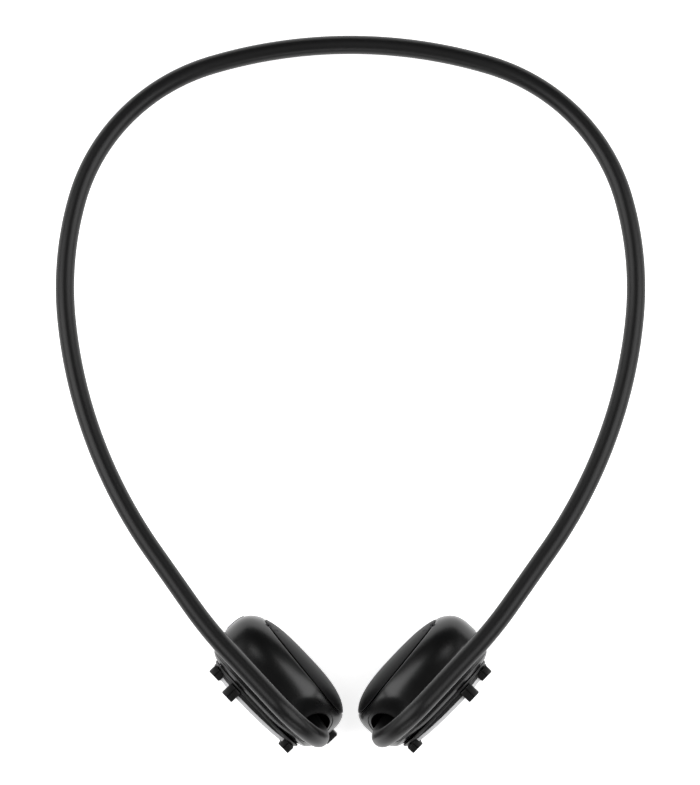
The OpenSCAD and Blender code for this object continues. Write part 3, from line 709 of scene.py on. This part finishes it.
PAD_SILICONE = pad_finish()
front_v = crease(SEAM / 2)
PAD_EDGE = 0.3
pad_top = POD_IN - 0.004
pad_edge = [form_ring(front_v + PAD_EDGE * (1 - math.sin(a)), PAD_EDGE * (1 - math.cos(a)))
    for a in np.linspace(math.pi / 2, 0, 6)]
crown = [form_ring(front_v + PAD_EDGE + (pad_top - front_v - PAD_EDGE) * math.sin(t))
    for t in np.linspace(0, math.pi / 2, 44)[1:]]
right_pad = ringed("right_pad", [form_ring(front_v, 3.0)] + pad_edge + crown, PAD_SILICONE)
left_pad = mirrored(right_pad, "left_pad")
carve(right_pad, sensor_bores("right"))
carve(left_pad, sensor_bores("left"))
for side, pad in (("right", right_pad), ("left", left_pad)):
    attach(pad, side + "_arm")
    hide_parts(side + "_contact_pad")


# ---- Trim bezels ----
# A black moulded frame let into each pod's outer face. Its flange carries the metal plate and the clips.
PLATE_LEN, PLATE_HIGH, PLATE_T, PLATE_V = 26.4, 15.0, 1.1, 0.5
TRIM_U, ARCH_U, ARCH_R = 13.2, 10.0, 125.0
FLANGE_T, BACK_EDGE = 0.8, 0.08


def stadium_ring(middle, length, high, depth, inset=0.0, count=48):
    """A stadium's outline in the pod's frame. depth is a number, or a function of the place along the pod."""
    a = (np.arange(count) + 0.5) * math.pi / count
    r, run = high / 2 - inset, (length - high) / 2
    front = np.stack([run + r * np.sin(a), r * np.cos(a)], 1)
    outline = np.concatenate([front, -front])
    straight = []
    for (a0, b0), (a1, b1) in ((outline[count - 1], outline[count]), (outline[-1], outline[0])):
        straight.append([(a0 + (a1 - a0) * t, b0 + (b1 - b0) * t) for t in np.linspace(0, 1, 26)[1:-1]])
    flat = np.concatenate([outline[:count], straight[0], outline[count:], straight[1]])
    u = middle + flat[:, 0]
    v = depth(u) if callable(depth) else np.full(len(u), depth)
    return np.stack([u, v, POD_W + flat[:, 1]], 1)


def arch(level, deepest=99.0):
    """The depth of the trim's arched face along the pod: level at the crown, and never past deepest."""
    return lambda u: np.minimum(level + (u - ARCH_U) ** 2 / (2 * ARCH_R), deepest)


def tablet(name, middle, length, high, back, front, edge, material, steps=5):
    """A stadium-shaped plate, arched in front. Its front edge is rounded, or chamfered when steps is 2."""
    reach = high / 2
    rings = [stadium_ring(middle, length, high, back, inset)
        for inset in (reach * 0.98, reach * 0.5, BACK_EDGE)]
    rings += [stadium_ring(middle, length, high, lambda u: back(u) - BACK_EDGE)]
    rings += [stadium_ring(middle, length, high, lambda u, a=a: front(u) + edge * (1 - math.sin(a)),
        edge * (1 - math.cos(a))) for a in np.linspace(0, math.pi / 2, steps)]
    rings += [stadium_ring(middle, length, high, front, inset) for inset in
        np.linspace(edge, reach * 0.99, 9)[1:]]
    return ringed(name, rings, material)


BEZEL_PLASTIC = gloss_plastic("bezel_plastic", PLASTIC_DARK, PLASTIC_LIGHT, 0.44)
flange = tablet("right_bezel", POD_U + 0.2, PLATE_LEN + 3.2, PLATE_HIGH + 2.4, arch(POD_FACE, POD_FACE),
    lambda u: np.full(len(u), POD_FACE - FLANGE_T), 0.7, BEZEL_PLASTIC)
rise = tablet("bezel_rise", TRIM_U, PLATE_LEN + 0.9, PLATE_HIGH + 0.9, arch(POD_FACE - 0.5, POD_FACE - 0.5),
    arch(PLATE_V, POD_FACE - FLANGE_T - 0.01), 0.15, BEZEL_PLASTIC)
nubs = [block("nub", (u - 1.1, POD_FACE - 1.5, POD_W - 1.2), (u + 1.1, POD_FACE - 0.3, POD_W + 1.2),
    BEZEL_PLASTIC, 0.3) for u in (-0.3, 26.0)]
right_bezel = carve(flange, [rise, *nubs], "UNION")
for side, bezel in (("right", right_bezel), ("left", mirrored(right_bezel, "left_bezel"))):
    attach(bezel, side + "_arm")
    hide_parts(side + "_trim_bezel")


# ---- Trim plates ----
# Brushed aluminium with a bright turned chamfer. It is the silver line that shows along each pod.
# The rim along that line has painted light: it is much lighter and less metallic than the plate's face, and
# the left rim is painted lighter than the right.
def brushed_metal(name, angle, low, high, metal):
    """Brushed aluminium: long streaks along the pod, a few deeper scratches and a soft haze."""
    place, fill = new_finish(name, Metallic=metal)
    streak = place.turned(angle, (60, 5200, 5200)).noise(1.0, 3.0, 0.6)
    scratch = (place.turned(angle, (90, 2600, 2600)).noise(1.0, 1.0) > 0.72) * 1.0
    haze = place.noise(60.0, 3.0)
    return fill(
        Base_Color=(haze * 0.5 + streak * 0.5).blend(low, high),
        Roughness=streak * 0.16 + scratch * 0.08 + 0.40,
        Normal=streak.bump(0.0000035),
    )


def bright_edge(name):
    """The diamond-cut chamfer of the plate, polished but for a trace of tool lines."""
    place, fill = new_finish(name, Metallic=1.0)
    lines = place.noise(3000.0, 2.0)
    return fill(Base_Color=lines.blend((0.80, 0.80, 0.81), (0.93, 0.93, 0.94)), Roughness=lines * 0.1 + 0.1)


right_plate = tablet("right_plate", TRIM_U, PLATE_LEN, PLATE_HIGH,
    arch(PLATE_V - 0.01, POD_FACE - FLANGE_T - 0.01), arch(PLATE_V - PLATE_T), 0.18, None, steps=2)
left_plate = mirrored(right_plate, "left_plate")
CHAMFER = bright_edge("cut_chamfer")
FACE_METAL = (0.30, 0.30, 0.31), (0.46, 0.46, 0.47)
# Painted light: the rim colours are far lighter than the face metal, so the rims look lit from above, and the
# left rim is painted lighter than the right.
for side, plate, angle, paint in (
    ("right", right_plate, TOE, ((0.66, 0.66, 0.67), (0.82, 0.82, 0.83))),
    ("left", left_plate, -TOE, ((0.76, 0.76, 0.77), (0.90, 0.90, 0.91))),
):
    plate.data.materials.append(brushed_metal(side + "_satin_rim", angle, *paint, 0.2))
    plate.data.materials.append(CHAMFER)
    plate.data.materials.append(brushed_metal(side + "_brushed_aluminium", angle, *FACE_METAL, 0.9))
    headward = Vector(HEADWARD) * Vector((1 if side == "right" else -1, 1, 1))
    for face in plate.data.polygons:
        lean = abs(face.normal.dot(headward))
        face.material_index = 0 if lean < 0.2 else 1 if lean < 0.9 else 2
    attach(plate, side + "_arm")
    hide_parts(side + "_trim_plate")


# ---- Trim clips ----
# Three small black clips hook over each plate's rim and hold it on the bezel. Each has a slit down its
# middle, so that it can spring over the rim.
CLIP_LEN, CLIP_HIGH = 3.5, 2.8
CLIP_PLASTIC = gloss_plastic("clip_plastic", (0.002, 0.002, 0.0021), (0.005, 0.005, 0.0053), 0.36)
clips = []
for number, (u, w, face_v) in enumerate(((0.4, 16.2, -0.8), (6.3, 19.4, -1.9), (25.4, 16.2, -0.75))):
    clip = block(f"clip_{number}", (u - CLIP_LEN / 2, face_v, w - CLIP_HIGH / 2),
        (u + CLIP_LEN / 2, 1.38, w + CLIP_HIGH / 2), CLIP_PLASTIC, 0.28)
    rooms = [tablet("room", TRIM_U, PLATE_LEN + wider, PLATE_HIGH + wider, arch(3.0), arch(from_v), 0.02,
        None) for wider, from_v in ((0.04, PLATE_V - PLATE_T), (1.24, PLATE_V))]
    slit = block("slit", (u - 0.2, face_v - 1, w + CLIP_HIGH / 2 - 0.6), (u + 0.2, 3, w + 3))
    carve(clip, rooms + [slit])
    clips.append(clip)
right_clips = carve(clips[0], clips[1:], "UNION")
right_clips.name = right_clips.data.name = "right_clips"
for side, part in (("right", right_clips), ("left", mirrored(right_clips, "left_clips"))):
    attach(part, side + "_arm")
    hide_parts(side + "_trim_clips")


# ---- Buttons ----
# The square multifunction button stands out of the right pod's front end, and the two volume buttons
# follow the round of its rear. Each is moulded plastic that presses on a switch behind it.
BUTTON_PLASTIC = gloss_plastic("button_plastic", (0.003, 0.003, 0.0032), (0.008, 0.008, 0.0084), 0.40)
block_button = block("block_button", BLOCK_LOW, BLOCK_HIGH, BUTTON_PLASTIC, 0.38)
buttons = [(block_button, "multifunction_button", "right_multifunction_button")]
for name, level in (("volume_up_button", VOLUME_UP), ("volume_down_button", VOLUME_DOWN)):
    lift = np.array([0, 0, level])
    button = block(name + "_cap", VOLUME_LOW + lift, VOLUME_HIGH + lift, BUTTON_PLASTIC, 0.5)
    carve(button, [form_solid("outside", -0.25, 3.0, 18.0)], "INTERSECT")
    carve(button, [form_solid("inside", SHELL_WALL, 3.0, 18.0)])
    buttons.append((button, name, "right_" + name))
for button, body, node in buttons:
    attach(button, body)
    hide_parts(node)


# ---- Charging socket cover ----
# A soft silicone flap, flush with the right pod's underside, with a plug that seals the socket's mouth.
COVER_SILICONE = soft_rubber("cover_silicone", (0.009, 0.009, 0.0095), (0.015, 0.015, 0.016), 0.5)
PORT_U, PORT_V = 19.0, 6.4
PLUG_LONG, PLUG_WIDE = 7.94, 2.26
cover = block("port_flap", COVER_LOW, COVER_HIGH, COVER_SILICONE)
carve(cover, [form_solid("outside", 0.02)], "INTERSECT")
carve(cover, [form_solid("inside", 1.2)])
plug_rings = []
for w, inset in ((1.0, 0.0), (3.5, 0.0), (3.7, 0.2)):
    mouth = stadium_ring(TRIM_U, PLUG_LONG, PLUG_WIDE, 0.0, inset, 12)
    plug_rings.append(np.stack([PORT_U + mouth[:, 0] - TRIM_U, PORT_V + mouth[:, 2] - POD_W,
        np.full(len(mouth), w)], 1))
carve(cover, [ringed("plug", plug_rings, COVER_SILICONE)], "UNION")
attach(cover, "port_cover")
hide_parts("right_port_cover")


# ---- Inside parts and fasteners ----
# What sits inside the pods keeps its CAD shape and gets its real material: steel and copper in the
# transducer, laminate and epoxy on the boards, foil on the battery, rubber between the shells.
def laminate(name):
    """Green solder mask over glass cloth, with faint copper under it."""
    place, fill = new_finish(name, Coat_Weight=0.4, Coat_Roughness=0.2)
    weave = place.noise(1500.0, 2.0)
    tracks = place.node("ShaderNodeTexVoronoi", {"distance": "MANHATTAN", "feature": "F1"},
        {"Vector": place, "Scale": 700.0})
    return fill(Base_Color=(tracks * 0.8 + weave * 0.3).blend((0.008, 0.10, 0.035), (0.02, 0.22, 0.09)),
        Roughness=weave * 0.2 + 0.32, Normal=weave.bump(0.000006))


def wound_copper(name):
    """Enamelled copper wire, wound in fine even layers."""
    place, fill = new_finish(name, Metallic=1.0)
    layers = place.node("ShaderNodeTexWave", {"wave_type": "BANDS", "bands_direction": "Z"},
        {"Vector": place, "Scale": 900.0, "Distortion": 0.6, "Detail": 1.0})
    return fill(Base_Color=layers.blend((0.45, 0.17, 0.06), (0.80, 0.38, 0.16)),
        Roughness=layers * 0.15 + 0.25, Normal=layers.bump(0.00002))


def wrapped_foil(name):
    """The battery's crimped aluminium laminate, with soft creases."""
    place, fill = new_finish(name, Metallic=1.0)
    crumple = place.noise(230.0, 5.0, 0.6)
    return fill(Base_Color=crumple.blend((0.55, 0.55, 0.56), (0.78, 0.78, 0.79)),
        Roughness=crumple * 0.2 + 0.25, Normal=crumple.bump(0.00006))


def light_pipe(name):
    """Smoke-tinted light-guide plastic, unlit, with faint clouds in it."""
    place, fill = new_finish(name, Coat_Weight=0.5)
    cloud = place.noise(900.0, 2.0)
    return fill(Base_Color=cloud.blend((0.03, 0.03, 0.033), (0.06, 0.06, 0.065)),
        Roughness=cloud * 0.15 + 0.25)


def mic_screen(name):
    """The microphone's black woven screen, fine dark wires with open meshes between."""
    place, fill = new_finish(name, Metallic=0.6)
    mesh = place.node("ShaderNodeTexVoronoi", {}, {"Vector": place, "Scale": 5200.0})
    return fill(Base_Color=mesh.blend((0.01, 0.01, 0.01), (0.09, 0.09, 0.095)), Roughness=mesh * 0.3 + 0.35,
        Normal=mesh.bump(0.00003))


FINISHES = {
    "seal_rubber": soft_rubber("seal_rubber", (0.012, 0.012, 0.013), (0.022, 0.022, 0.023), 0.55),
    "steel": drawn_metal("bright_steel", (0.45, 0.45, 0.46), (0.62, 0.62, 0.63), 0.28),
    "nickel": drawn_metal("nickel_plate", (0.55, 0.53, 0.49), (0.68, 0.66, 0.62), 0.2),
    "copper_alloy": drawn_metal("spring_bronze", (0.55, 0.42, 0.24), (0.68, 0.55, 0.34), 0.3),
    "glass_nylon": gloss_plastic("glass_nylon", (0.010, 0.010, 0.011), (0.024, 0.024, 0.025), 0.5, 0.00001),
    "chip_epoxy": gloss_plastic("chip_epoxy", (0.008, 0.008, 0.009), (0.018, 0.018, 0.019), 0.45, 0.000004),
    "laminate": laminate("board_laminate"),
    "copper": wound_copper("wound_copper"),
    "foil": wrapped_foil("battery_foil"),
    "light": light_pipe("light_guide"),
    "screen": mic_screen("mic_screen"),
}
WHERE = {
    "shell_seal": "seal_rubber", "strain_relief": "seal_rubber", "wire_clamp": "steel",
    "case_screws": "steel", "pad_carrier": "glass_nylon", "transducer_cradle": "glass_nylon",
    "voice_coil": "copper", "pole_plate": "steel", "magnet": "nickel", "magnet_cup": "steel",
    "suspension_spring": "copper_alloy", "microphone": "screen",
    "status_light": "light", "main_board": "laminate", "link_board": "laminate", "board_chips": "chip_epoxy",
    "battery": "foil", "charging_socket": "nickel", "button_switches": "chip_epoxy",
}
for side in ("right_", "left_"):
    for part, finish in WHERE.items():
        node = bpy.data.objects.get(side + part)
        if node:
            node.data.materials.clear()
            node.data.materials.append(FINISHES[finish])
